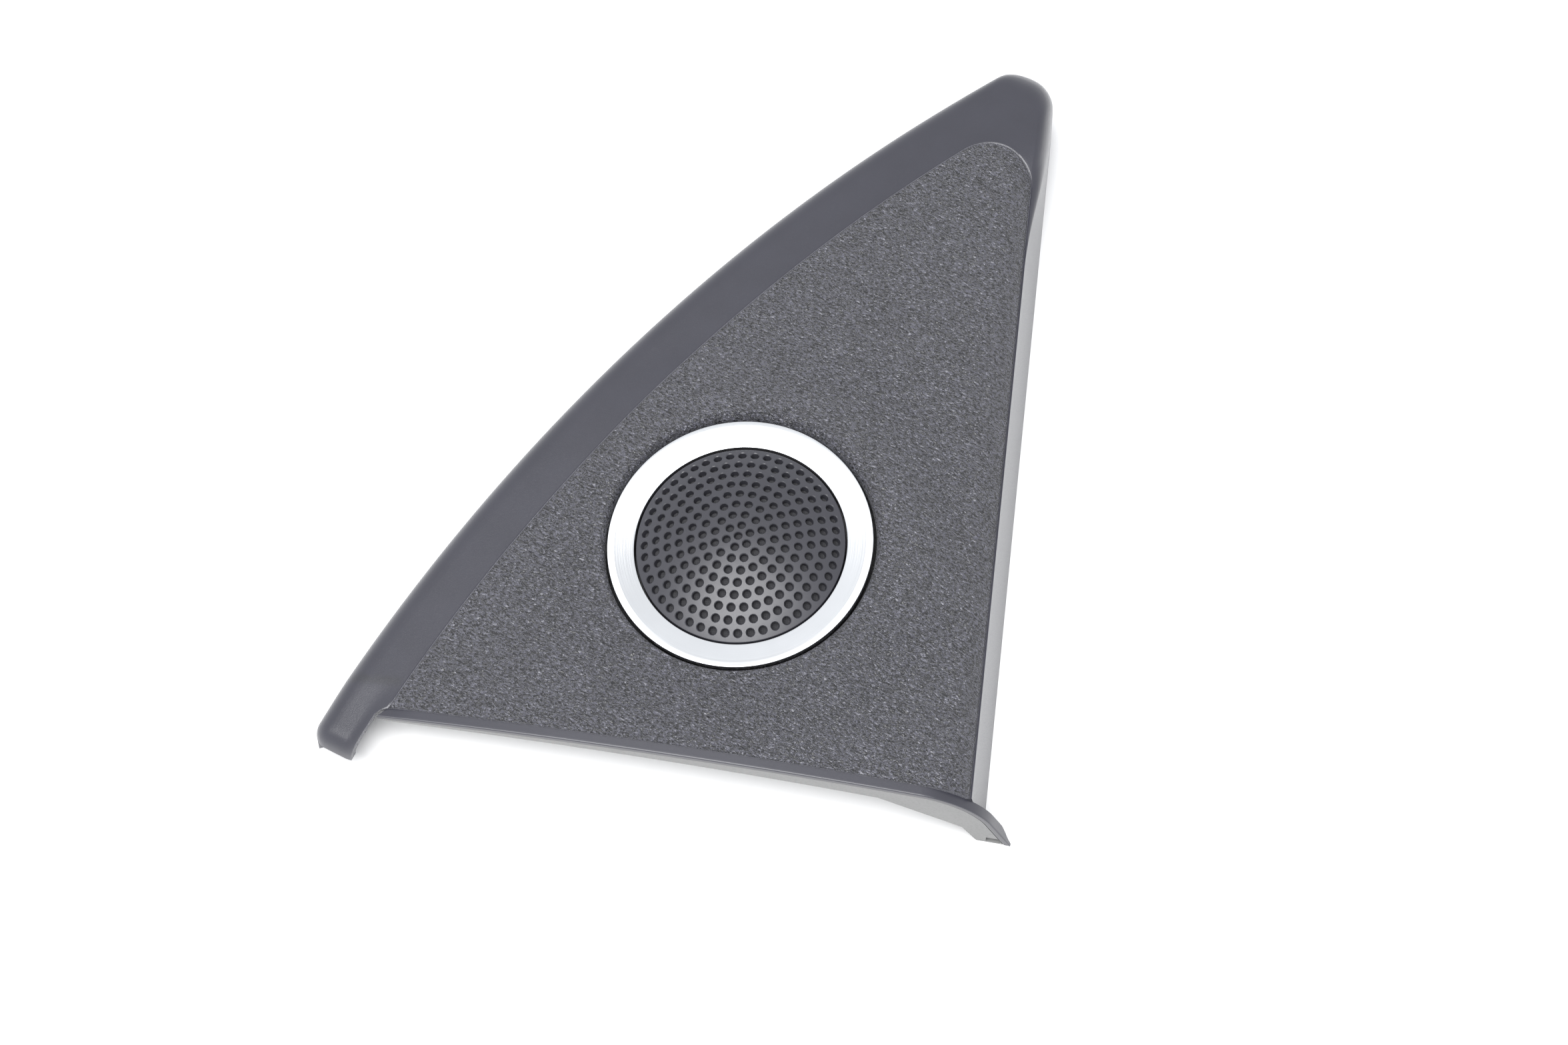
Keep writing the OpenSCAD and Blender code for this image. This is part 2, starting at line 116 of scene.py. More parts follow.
def makeStudio(look):
    world = bpy.data.worlds.new("room")
    world.use_nodes = True
    tree = world.node_tree
    sky = tree.nodes["Background"]
    sky.inputs["Color"].default_value = look["tentTint"]
    upward = tree.nodes.new("ShaderNodeSeparateXYZ")
    tree.links.new(tree.nodes.new("ShaderNodeTexCoord").outputs["Generated"], upward.inputs[0])
    fall = tree.nodes.new("ShaderNodeMapRange")
    fall.inputs["To Min"].default_value = look["horizon"]
    fall.inputs["To Max"].default_value = look["overhead"]
    tree.links.new(upward.outputs["Z"], fall.inputs["Value"])
    tree.links.new(fall.outputs["Result"], sky.inputs["Strength"])
    bpy.context.scene.world = world
    bpy.context.scene.view_settings.view_transform = "Standard"
    data = bpy.data.lights.new("softBox", "AREA")
    data.shape = "SQUARE"
    data.size = look["boxSize"]
    data.energy = look["boxPower"]
    light = bpy.data.objects.new("softBox", data)
    light.location = look["boxPlace"]
    light.rotation_euler = Vector(look["boxPlace"]).to_track_quat("Z", "Y").to_euler()
    bpy.context.collection.objects.link(light)
    half = look["floorSize"] / 2
    mesh = bpy.data.meshes.new("floor")
    mesh.from_pydata([(-half, -half, 0), (half, -half, 0), (half, half, 0), (-half, half, 0)], [],
                     [(0, 1, 2, 3)])
    floor = bpy.data.objects.new("floor", mesh)
    bpy.context.collection.objects.link(floor)
    paper = bpy.data.materials.new("paper")
    paper.use_nodes = True
    shader = paper.node_tree.nodes["Principled BSDF"]
    tone = look["floorTone"]
    shader.inputs["Base Color"].default_value = (tone, tone, tone, 1)
    shader.inputs["Roughness"].default_value = 0.6
    mesh.materials.append(paper)


makeCamera(cameraLook)
makeStudio(studio)
print("stage: camera, floor and light")


def newGroup(name, inputs, outputs):
    group = bpy.data.node_groups.new(name, "ShaderNodeTree")
    for title, kind, value in inputs:
        socket = group.interface.new_socket(title, in_out="INPUT", socket_type="NodeSocket" + kind)
        if value is not None:
            socket.default_value = value
    for title, kind in outputs:
        group.interface.new_socket(title, in_out="OUTPUT", socket_type="NodeSocket" + kind)
    return group, group.nodes.new("NodeGroupInput").outputs, group.nodes.new("NodeGroupOutput").inputs


def addNode(tree, kind, values=None, **settings):
    node = tree.nodes.new(kind)
    for key, value in settings.items():
        setattr(node, key, value)
    for key, value in (values or {}).items():
        if isinstance(value, bpy.types.NodeSocket):
            tree.links.new(value, node.inputs[key])
        else:
            node.inputs[key].default_value = value
    return node


def calc(tree, operation, *values):
    return addNode(tree, "ShaderNodeMath", dict(enumerate(values)), operation=operation).outputs[0]


def times(tree, first, second):
    return calc(tree, "MULTIPLY", first, second)


def scaleAdd(tree, value, factor, extra):
    return calc(tree, "MULTIPLY_ADD", value, factor, extra)


def remap(tree, value, low, high):
    return addNode(tree, "ShaderNodeMapRange", {
        "Value": value, "From Min": low, "From Max": high,
    }, interpolation_type="SMOOTHSTEP").outputs["Result"]


def makeLeatherGrain():
    # moulded hide grain: short wandering ridges, parted by shallow valleys
    group, given, out = newGroup("leatherGrain", [("Vector", "Vector", None), ("Cell", "Float", 0.5)],
                                 [("Height", "Float"), ("Valley", "Float")])
    scale = calc(group, "DIVIDE", 1000.0, given["Cell"])
    drawn = addNode(group, "ShaderNodeMapping", {
        "Vector": given["Vector"], "Rotation": (0, 0, math.radians(-18)), "Scale": (2.2, 1.0, 1.0)},
        vector_type="TEXTURE")
    warp = addNode(group, "ShaderNodeTexNoise", {
        "Vector": drawn.outputs["Vector"], "Scale": scale, "Detail": 2.0, "Roughness": 0.55,
        "Distortion": 0.9})
    cells = addNode(group, "ShaderNodeTexVoronoi", {
        "Vector": drawn.outputs["Vector"], "Scale": scale, "Randomness": 1.0}, feature="SMOOTH_F1")
    ridge = remap(group, warp.outputs["Fac"], 0.40, 0.60)
    bead = remap(group, cells.outputs["Distance"], 0.75, 0.15)
    rise = scaleAdd(group, bead, 0.6, ridge)
    group.links.new(rise, out["Height"])
    group.links.new(remap(group, rise, 1.15, 0.35), out["Valley"])
    return group


def makeSpeckle():
    # fine spark-eroded texture of a moulded surface
    group, given, out = newGroup("speckle", [("Vector", "Vector", None), ("Grain", "Float", 0.25)],
                                 [("Height", "Float"), ("Mask", "Float")])
    scale = calc(group, "DIVIDE", 1000.0, given["Grain"])
    fine = addNode(group, "ShaderNodeTexNoise", {
        "Vector": given["Vector"], "Scale": scale, "Detail": 3.0, "Roughness": 0.65})
    group.links.new(fine.outputs["Fac"], out["Height"])
    group.links.new(remap(group, fine.outputs["Fac"], 0.45, 0.68), out["Mask"])
    return group


def makeCloud():
    # slow change of tone across a piece
    group, given, out = newGroup("cloud", [
        ("Vector", "Vector", None), ("Color", "Color", (0.5, 0.5, 0.5, 1)), ("Amount", "Float", 0.15),
        ("Size", "Float", 12.0)], [("Color", "Color"), ("Mask", "Float")])
    scale = calc(group, "DIVIDE", 1000.0, given["Size"])
    soft = addNode(group, "ShaderNodeTexNoise", {"Vector": given["Vector"], "Scale": scale, "Detail": 2.0})
    mask = remap(group, soft.outputs["Fac"], 0.3, 0.7)
    swing = times(group, given["Amount"], calc(group, "SUBTRACT", mask, 0.5))
    level = calc(group, "ADD", 1.0, swing)
    tinted = addNode(group, "ShaderNodeVectorMath", {0: given["Color"], "Scale": level}, operation="SCALE")
    group.links.new(tinted.outputs[0], out["Color"])
    group.links.new(mask, out["Mask"])
    return group


def makeTurned():
    # circles left by a lathe tool round the vector's Z axis
    group, given, out = newGroup("turned", [("Vector", "Vector", None), ("Pitch", "Float", 0.12)],
                                 [("Height", "Float"), ("Mask", "Float")])
    parts = addNode(group, "ShaderNodeSeparateXYZ", {0: given["Vector"]})
    squares = calc(group, "ADD", calc(group, "POWER", parts.outputs["X"], 2.0),
                   calc(group, "POWER", parts.outputs["Y"], 2.0))
    radius = calc(group, "SQRT", squares)
    count = calc(group, "DIVIDE", 1000.0, given["Pitch"])
    lines = addNode(group, "ShaderNodeTexNoise", {"W": times(group, radius, count), "Scale": 1.0,
                                                  "Detail": 2.0}, noise_dimensions="1D")
    group.links.new(lines.outputs["Fac"], out["Height"])
    group.links.new(remap(group, lines.outputs["Fac"], 0.4, 0.62), out["Mask"])
    return group


def makeWeave():
    # plain weave of round threads in the vector's XY plane
    group, given, out = newGroup("weave", [("Vector", "Vector", None), ("Pitch", "Float", 0.3)],
                                 [("Height", "Float"), ("Gap", "Float")])
    parts = addNode(group, "ShaderNodeSeparateXYZ", {0: given["Vector"]})
    turns = calc(group, "DIVIDE", 1000.0 * math.pi, given["Pitch"])
    across = calc(group, "SINE", times(group, parts.outputs["X"], turns))
    along = calc(group, "SINE", times(group, parts.outputs["Y"], turns))
    height = times(group, across, along)
    threads = calc(group, "MAXIMUM", calc(group, "ABSOLUTE", across), calc(group, "ABSOLUTE", along))
    group.links.new(height, out["Height"])
    group.links.new(calc(group, "SUBTRACT", 1.0, threads), out["Gap"])
    return group


leatherGrain = makeLeatherGrain()
speckle = makeSpeckle()
cloud = makeCloud()
turned = makeTurned()
weave = makeWeave()
print("stage: shader groups")


def newMaterial(name, **shaderValues):
    material = bpy.data.materials.new(name)
    material.use_nodes = True
    tree = material.node_tree
    shader = tree.nodes["Principled BSDF"]
    for key, value in shaderValues.items():
        shader.inputs[socketNames[key]].default_value = value
    coordinates = tree.nodes.new("ShaderNodeTexCoord").outputs["Object"]
    return material, tree, shader.inputs, coordinates


socketNames = {
    "metallic": "Metallic", "roughness": "Roughness", "ior": "IOR", "specular": "Specular IOR Level",
    "anisotropic": "Anisotropic", "sheen": "Sheen Weight", "coat": "Coat Weight",
    "coatRoughness": "Coat Roughness", "sheenRoughness": "Sheen Roughness",
}


def useGroup(tree, group, **values):
    return addNode(tree, "ShaderNodeGroup", {key.capitalize(): value for key, value in values.items()},
                   node_tree=group).outputs


def mixColor(tree, factor, first, second):
    node = tree.nodes.new("ShaderNodeMix")
    node.data_type = "RGBA"
    for index, value in ((0, factor), (6, first), (7, second)):
        if isinstance(value, bpy.types.NodeSocket):
            tree.links.new(value, node.inputs[index])
        else:
            node.inputs[index].default_value = value
    return node.outputs[2]


def clouded(tree, shader, place, tone, amount, size):
    # base colour with a slow change of tone
    tinted = useGroup(tree, cloud, vector=place, color=tone, amount=amount, size=size)
    tree.links.new(tinted["Color"], shader["Base Color"])


def bumpUp(tree, height, strength, distance, under=None):
    values = {"Height": height, "Strength": strength, "Distance": distance * mm}
    if under:
        values["Normal"] = under
    return addNode(tree, "ShaderNodeBump", values).outputs["Normal"]


def rgb(r, g, b):
    return (r, g, b, 1.0)


skinLook = {
    "faceTone": rgb(0.056, 0.056, 0.072),
    "bandTone": rgb(0.023, 0.023, 0.031),
    # painted shade in the grain's valleys
    "valleyShadeTone": rgb(0.004, 0.004, 0.006),
    "creaseHighlightTone": rgb(0.10, 0.10, 0.12),     # painted highlight on the band beside the crease
    "dentShadeTone": rgb(0.020, 0.020, 0.024),  # painted shade of a faint sink dent above the leg
    "grainCell": 0.31, "grainRelief": 0.30,  # mm
    "speckGrain": 0.20, "speckRelief": 0.035,
    "roughness": 0.30, "roughSwing": 0.08,
    "markPlace": (-59.5, -34.6), "markHalf": (3.8, 5.8), "markHigh": 1.5,
}


def makeSkinMaterial(look):
    # zone runs 0 on the smooth lip, 1 on the band and walls, 2 on the grained face
    material, tree, shader, place = newMaterial("skinPlastic", ior=1.5, specular=0.6, sheen=0.12,
                                                sheenRoughness=0.3)
    zone = addNode(tree, "ShaderNodeAttribute", attribute_name="zone").outputs["Fac"]
    onFace = remap(tree, zone, 1.2, 1.8)
    onBand = remap(tree, zone, 0.2, 0.8)
    grain = useGroup(tree, leatherGrain, vector=place, cell=look["grainCell"])
    fine = useGroup(tree, speckle, vector=place, grain=look["speckGrain"])
    # painted shade darkens the grain's valleys
    valley = mixColor(tree, grain["Valley"], look["faceTone"], look["valleyShadeTone"])
    # painted shade of the sink dent, laid over the band's tone
    dentShaded = times(tree, dentShadeMask(tree, place, look), 0.75)
    plain = mixColor(tree, dentShaded, look["bandTone"], look["dentShadeTone"])
    tone = mixColor(tree, onFace, plain, valley)
    # painted highlight: a thin lighter line on the band's side of the crease
    onCreaseHighlight = times(tree, remap(tree, zone, 1.02, 1.25), remap(tree, zone, 1.75, 1.5))
    tone = mixColor(tree, times(tree, onCreaseHighlight, 0.8), tone, look["creaseHighlightTone"])
    clouded(tree, shader, place, tone, 0.10, 9.0)
    rough = scaleAdd(tree, fine["Mask"], look["roughSwing"], look["roughness"])
    tree.links.new(scaleAdd(tree, onFace, 0.02, rough), shader["Roughness"])
    fineBump = bumpUp(tree, times(tree, fine["Height"], onBand), 0.6, look["speckRelief"])
    hide = times(tree, grain["Height"], onFace)
    tree.links.new(bumpUp(tree, hide, 1.0, look["grainRelief"], fineBump), shader["Normal"])
    return material


def dentShadeMask(tree, place, look):
    # mask of painted shade for a faint sink dent across the band, a little above the leg
    spot = fromPanel(look["markPlace"][0], look["markPlace"][1], 0)
    near = addNode(tree, "ShaderNodeMapping", {
        "Vector": place, "Location": (-spot.x, -spot.y, 0), "Scale": (1, 1, 0)}).outputs["Vector"]
    wobble = addNode(tree, "ShaderNodeTexNoise", {"Vector": place, "Scale": 700.0, "Detail": 1.0})
    parts = addNode(tree, "ShaderNodeSeparateXYZ", {0: near})
    lift = scaleAdd(tree, wobble.outputs["Fac"], 1.6 * mm, -0.8 * mm)
    up = calc(tree, "ABSOLUTE", calc(tree, "ADD", parts.outputs["Y"], lift))
    across = calc(tree, "ABSOLUTE", parts.outputs["X"])
    inner, outer = look["markHalf"]
    return times(tree, remap(tree, up, look["markHigh"] * mm, 0.1 * mm),
                remap(tree, across, outer * mm, inner * mm))


def moulded(made, tone, change, size, grain, rough, swing, strength, relief):
    # slow change of tone, fine texture in the gloss and in the relief
    material, tree, shader, place = made
    clouded(tree, shader, place, tone, change, size)
    fine = useGroup(tree, speckle, vector=place, grain=grain)
    tree.links.new(scaleAdd(tree, fine["Mask"], swing, rough), shader["Roughness"])
    tree.links.new(bumpUp(tree, fine["Height"], strength, relief), shader["Normal"])
    return material


def makePlastic(name, tone, grain=0.3, relief=0.02, roughness=0.45, change=0.12):
    return moulded(newMaterial(name, ior=1.48), tone, change, 7.0, grain, roughness, 0.12, 0.5, relief)


def makeMetal(name, tone, roughness=0.3, grain=0.15, relief=0.006, change=0.10):
    return moulded(newMaterial(name, metallic=1.0), tone, change, 4.0, grain, roughness, 0.14, 0.4, relief)


def ringCoordinates(tree, place):
    # object coordinates turned and moved into the tweeter's own axes
    back = (-(ringTurn.transposed() @ ringCentre)).to_tuple()
    turn = ringTurn.transposed().to_euler("XYZ")
    return addNode(tree, "ShaderNodeMapping", {
        "Vector": place, "Location": back, "Rotation": (turn.x, turn.y, turn.z)}).outputs["Vector"]


ringLook = {"tone": rgb(0.76, 0.775, 0.79), "linePitch": 0.16, "roughness": 0.28}


def makeRingMaterial(look):
    material, tree, shader, place = newMaterial("turnedAluminium", metallic=1.0, anisotropic=0.7)
    local = ringCoordinates(tree, place)
    lines = useGroup(tree, turned, vector=local, pitch=look["linePitch"])
    clouded(tree, shader, place, look["tone"], 0.03, 6.0)
    tree.links.new(scaleAdd(tree, lines["Mask"], 0.14, look["roughness"]), shader["Roughness"])
    tree.links.new(bumpUp(tree, lines["Height"], 0.6, 0.010), shader["Normal"])
    tangent = addNode(tree, "ShaderNodeTangent", direction_type="RADIAL", axis="Z").outputs[0]
    tree.links.new(tangent, shader["Tangent"])
    return material


def makeClothMaterial(name, tone, gapShadeTone, pitch, inRing=True):
    material, tree, shader, place = newMaterial(name, roughness=0.9, sheen=0.3, sheenRoughness=0.5)
    local = ringCoordinates(tree, place) if inRing else place
    threads = useGroup(tree, weave, vector=local, pitch=pitch)
    # painted shade darkens the gaps between the threads
    tone = mixColor(tree, threads["Gap"], tone, gapShadeTone)
    clouded(tree, shader, place, tone, 0.10, 5.0)
    tree.links.new(bumpUp(tree, threads["Height"], 0.7, 0.05), shader["Normal"])
    return material


def makeFoamMaterial(name, tone, cell=0.5):
    material, tree, shader, place = newMaterial(name, roughness=0.95, sheen=0.2, sheenRoughness=0.6)
    pores = useGroup(tree, leatherGrain, vector=place, cell=cell)
    # painted shade darkens the foam's pores
    dark = tuple(c * 0.35 for c in tone[:3]) + (1.0,)
    tree.links.new(mixColor(tree, times(tree, pores["Valley"], 0.7), tone, dark),
                   shader["Base Color"])
    tree.links.new(bumpUp(tree, pores["Height"], 0.8, 0.08), shader["Normal"])
    return material


def makeWindingMaterial():
    # enamelled copper: fine turns stacked along the coil
    material, tree, shader, place = newMaterial("copperWinding", metallic=1.0, roughness=0.28, coat=0.4)
    local = addNode(tree, "ShaderNodeSeparateXYZ", {0: ringCoordinates(tree, place)})
    turns = calc(tree, "SINE", times(tree, local.outputs["Z"], 2000.0 * math.pi / 0.15))
    # painted shade darkens the grooves between the turns
    tone = mixColor(tree, remap(tree, turns, -1.0, 0.2), rgb(0.22, 0.07, 0.02), rgb(0.80, 0.38, 0.16))
    tree.links.new(tone, shader["Base Color"])
    tree.links.new(bumpUp(tree, turns, 0.8, 0.05), shader["Normal"])
    return material


def makeBoardMaterial():
    # solder mask with faint copper runs under it
    material, tree, shader, place = newMaterial("boardLaminate", roughness=0.35, coat=0.3)
    runs = addNode(tree, "ShaderNodeTexVoronoi", {"Vector": place, "Scale": 420.0}, distance="CHEBYCHEV",
                   feature="F1")
    track = remap(tree, runs.outputs["Distance"], 0.30, 0.34)
    tone = mixColor(tree, track, rgb(0.045, 0.17, 0.07), rgb(0.025, 0.11, 0.045))
    tree.links.new(tone, shader["Base Color"])
    tree.links.new(bumpUp(tree, track, 0.4, 0.03), shader["Normal"])
    return material


def makeLeadMaterial():
    material, tree, shader, place = newMaterial("leadSleeve", roughness=0.5)
    side = addNode(tree, "ShaderNodeSeparateXYZ", {0: place})
    pair = remap(tree, side.outputs["X"], 0.0220, 0.0222)
    tone = mixColor(tree, pair, rgb(0.30, 0.02, 0.015), rgb(0.02, 0.02, 0.022))
    clouded(tree, shader, place, tone, 0.2, 3.0)
    fine = useGroup(tree, speckle, vector=place, grain=0.3)
    tree.links.new(bumpUp(tree, fine["Height"], 0.4, 0.01), shader["Normal"])
    return material


finishes = {
    "skin": makeSkinMaterial(skinLook),
    "ring": makeRingMaterial(ringLook),
    "grille": makePlastic("grillePlastic", rgb(0.026, 0.026, 0.032), grain=0.12, relief=0.006,
                          roughness=0.34, change=0.06),
    "cloth": makeClothMaterial("grilleCloth", rgb(0.022, 0.022, 0.026), rgb(0.006, 0.006, 0.007), 0.35),
    "carrier": makePlastic("carrierPlastic", rgb(0.17, 0.17, 0.168), grain=0.5, relief=0.02,
                           roughness=0.48, change=0.06),
    "bezel": makePlastic("bezelPlastic", rgb(0.022, 0.022, 0.024), grain=0.2, roughness=0.42),
    "housing": makePlastic("housingPlastic", rgb(0.018, 0.018, 0.020), grain=0.35, relief=0.03,
                           roughness=0.46, change=0.2),
    "plate": makePlastic("platePlastic", rgb(0.028, 0.028, 0.030), grain=0.3, roughness=0.5),
    "socket": makePlastic("socketNylon", rgb(0.74, 0.71, 0.62), grain=0.4, roughness=0.4, change=0.05),
    "tape": makePlastic("tapeFilm", rgb(0.62, 0.58, 0.50), grain=0.6, roughness=0.6),
    "capacitor": makePlastic("capacitorSleeve", rgb(0.02, 0.05, 0.22), grain=0.5, roughness=0.25),
    "former": makePlastic("formerFilm", rgb(0.46, 0.28, 0.10), grain=0.4, roughness=0.3),
    "felt": makeFoamMaterial("dampingFelt", rgb(0.18, 0.165, 0.14), 0.3),
    "foam": makeFoamMaterial("gasketFoam", rgb(0.02, 0.02, 0.022), 0.5),
    "pad": makeFoamMaterial("padFoam", rgb(0.07, 0.07, 0.07), 0.6),
    "dome": makeClothMaterial("domeSilk", rgb(0.20, 0.205, 0.22), rgb(0.08, 0.08, 0.09), 0.22),
    "surround": makeClothMaterial("surroundFabric", rgb(0.035, 0.035, 0.038), rgb(0.015, 0.015, 0.016),
                                  0.22),
    "copper": makeWindingMaterial(),
    "tinsel": makeMetal("tinselWire", rgb(0.80, 0.45, 0.24), roughness=0.35),
    "steel": makeMetal("platedSteel", rgb(0.56, 0.57, 0.59), roughness=0.30),
    "magnet": makeMetal("nickelMagnet", rgb(0.66, 0.65, 0.62), roughness=0.16),
    "screw": makeMetal("zincScrew", rgb(0.62, 0.63, 0.65), roughness=0.24),
    "clip": makeMetal("springSteel", rgb(0.42, 0.43, 0.45), roughness=0.34),
    "contact": makeMetal("tinnedBrass", rgb(0.80, 0.66, 0.36), roughness=0.22),
    "board": makeBoardMaterial(),
    "lead": makeLeadMaterial(),
}

nodeFinishes = {
    "carrier": "carrier", "ring_tape": "tape", "bezel": "bezel", "foam_gasket": "foam",
    "front_plate": "plate", "dome_diaphragm": "dome", "surround": "surround", "coil_former": "former",
    "voice_coil": "copper", "coil_leads": "tinsel", "damping_felt": "felt", "pole_piece": "steel",
    "magnet": "magnet", "yoke": "steel", "rear_housing": "housing", "terminals": "contact",
    "tweeter_screws": "screw", "tweeter_leads": "lead", "crossover_board": "board",
    "capacitor": "capacitor", "connector_socket": "socket", "connector_pins": "contact",
    "board_screws": "screw", "spring_clips": "clip", "rattle_pads": "pad",
}


def dressNodes():
    for name, finish in nodeFinishes.items():
        slots = nodes[name].material_slots
        if not slots:
            nodes[name].data.materials.append(finishes[finish])
        for slot in slots:
            slot.material = finishes[finish]


dressNodes()
print("stage: materials on", len(nodeFinishes), "nodes")


def makeObject(name, points, faces, material, sharp=None):
    mesh = bpy.data.meshes.new(name)
    mesh.from_pydata([tuple(p) for p in points], [], faces)
    mesh.validate()
    mesh.materials.append(material)
    mesh.shade_smooth()
    if sharp:
        mesh.set_sharp_from_angle(angle=math.radians(sharp))
    thing = bpy.data.objects.new(name, mesh)
    bpy.context.collection.objects.link(thing)
    return thing


def lathe(profile, steps):
    # a closed profile of (radius, height) turned round the tweeter's axis
    points = []
    for i in range(steps):
        angle = 2 * math.pi * i / steps
        points += [fromRing(r * math.cos(angle), r * math.sin(angle), z) for r, z in profile]
    size = len(profile)
    faces = []
    for i in range(steps):
        here, there = i * size, (i + 1) % steps * size
        for j in range(size):
            k = (j + 1) % size
            faces.append((here + j, there + j, there + k, here + k))
    return points, faces


def arcPoints(cx, cz, radius, startAngle, endAngle, count):
    angles = [math.radians(startAngle + (endAngle - startAngle) * i / count) for i in range(count + 1)]
    return [(cx + radius * math.cos(a), cz + radius * math.sin(a)) for a in angles]


def smoothStep(low, high, value):
    t = min(max((value - low) / (high - low), 0.0), 1.0)
    return t * t * (3 - 2 * t)


# the skin, in millimetres from the panel's origin
panel = {
    "faceHeight": 17.5, "crown": 555.0, "slopeSide": 0.05, "slopeLong": 0.004,
    "edgeCentre": (284.6, -169.6),          # centre of the long curved edge
    "lean": 3.67,                           # degrees that the straight side leans in
    "stepY": -39.7,                         # line of the step above the lip
    "creaseLines": (45.55, 364.4, 8.0),     # side offset, edge radius, tip radius
    "topLines": (45.9, 375.0, 5.5),
    "tipTopLines": (48.4, 375.0, 6.4),      # the wall stands upright at the tip
    "tipFrom": 66.0, "tipTo": 97.0, "tipRoll": 6.4,
    "baseLines": (48.75, 375.3, 6.5),
    "wall": 1.0, "legWall": 1.5,
    "grooveDeep": 0.28, "grooveHalf": 0.26, "bandStep": 0.12,
    "sideRoll": 5.2, "sideRollRadius": 8.0,
    "edgeRoll": 3.2,
    "holeRadius": 24.5, "holeRoll": 1.3, "holeRollTilt": 0.7, "holeDeep": 2.8,
    "podOut": 42.0,
    "legEnd": 160.75, "legInner": 366.0, "legDroopY": -35.0, "legDroop": 0.10,
    "sideSteps": 96, "tipSteps": 56, "edgeSteps": 116, "legSteps": 14, "bottomSteps": 66,
}
edgeCentre = Vector(panel["edgeCentre"])
sideNormal = Vector((math.cos(math.radians(panel["lean"])), math.sin(math.radians(panel["lean"]))))
sideAlong = Vector((-sideNormal.y, sideNormal.x))


def tipCentre(lines):
    # centre of the circle that rounds the tip between the straight side and the long edge
    offset, radius, tip = lines
    a = offset - tip - sideNormal.dot(edgeCentre)
    b = math.sqrt((radius - tip) ** 2 - a * a)
    return edgeCentre + sideNormal * a + sideAlong * b


def inset(lines, d, keepEdge=False):
    return (lines[0] - d, lines[1] - (0 if keepEdge else d), lines[2] - d)


def insideDistance(p, lines):
    # distance from a point to the outline, positive inside, and the outline's normal angle there
    offset, radius, tip = lines
    centre = tipCentre(lines)
    q = p - centre
    angle = math.degrees(math.atan2(q.y, q.x))
    end = math.degrees(math.atan2(centre.y - edgeCentre.y, centre.x - edgeCentre.x))
    if panel["lean"] <= angle <= end and q.length > 0.01:
        return tip - q.length, angle
    side = offset - sideNormal.dot(p)
    edge = radius - (p - edgeCentre).length
    return (side, panel["lean"]) if side < edge else (edge, end)


def faceHeight(x, y):
    slopes = panel["slopeSide"] * x + panel["slopeLong"] * y
    return panel["faceHeight"] + slopes - x * x / (2 * panel["crown"])


def podLift(x, y):
    # near the tweeter the face turns into the ring's plane
    keep = 1 - smoothStep(27.0, panel["podOut"], math.hypot(x, y - ringForward))
    alongX = -math.tan(math.radians(ringLean[1]))
    alongY = math.tan(math.radians(ringLean[0]))
    return keep * (panel["faceHeight"] + alongX * x + alongY * (y - ringForward) - faceHeight(x, y))


def sideWeight(angle):
    return 1 - smoothStep(panel["lean"], 80.0, angle)


def rollDrop(e, radius):
    # fall of a quarter-round edge at distance e from its outer line
    if e >= radius:
        return 0.0
    return radius - math.sqrt(max(radius * radius - (radius - max(e, 0.0)) ** 2, 0.0))


def surfaceHeight(p, depth):
    # height of the skin, before its outer edge roll: depth 0 is the outside, more is under it
    z = faceHeight(p.x, p.y) + podLift(p.x, p.y) - depth
    into, angle = insideDistance(p, inset(panel["creaseLines"], depth, True))
    roll = min(max(panel["sideRoll"] - into, 0.0), panel["sideRoll"])
    radius = panel["sideRollRadius"]
    z -= sideWeight(angle) * (radius - math.sqrt(radius ** 2 - roll * roll))
    z -= panel["legDroop"] * max(panel["legDroopY"] - p.y, 0.0) * smoothStep(0.0, 3.0, -into)
    if depth == 0:
        z -= panel["grooveDeep"] * max(0.0, 1 - abs(into) / panel["grooveHalf"])
        z -= panel["bandStep"] * smoothStep(-0.1, 0.3, -into)
    return z


def onLines(lines, angle):
    # point of the long edge at an angle about its centre
    return edgeCentre + lines[1] * Vector((math.cos(angle), math.sin(angle)))


def sideStart(lines, y):
    return Vector(((lines[0] - sideNormal.y * y) / sideNormal.x, y))


def outlinePath(lines, fromPoint, toAngle, count):
    # from a point on the straight side, round the tip, to an angle on the long edge
    centre = tipCentre(lines)
    tangent = centre + sideNormal * lines[2]
    endAngle = math.atan2(centre.y - edgeCentre.y, centre.x - edgeCentre.x)
    lengths = [(tangent - fromPoint).dot(sideAlong), lines[2] * (endAngle - math.radians(panel["lean"])),
               lines[1] * (toAngle - endAngle)]
    total = sum(lengths)
    path = []
    for i in range(count + 1):
        s = total * i / count
        if s <= lengths[0]:
            path.append(fromPoint + sideAlong * s)
        elif s <= lengths[0] + lengths[1]:
            a = math.radians(panel["lean"]) + (s - lengths[0]) / lines[2]
            path.append(centre + lines[2] * Vector((math.cos(a), math.sin(a))))
        else:
            path.append(onLines(lines, endAngle + (s - lengths[0] - lengths[1]) / lines[1]))
    return path


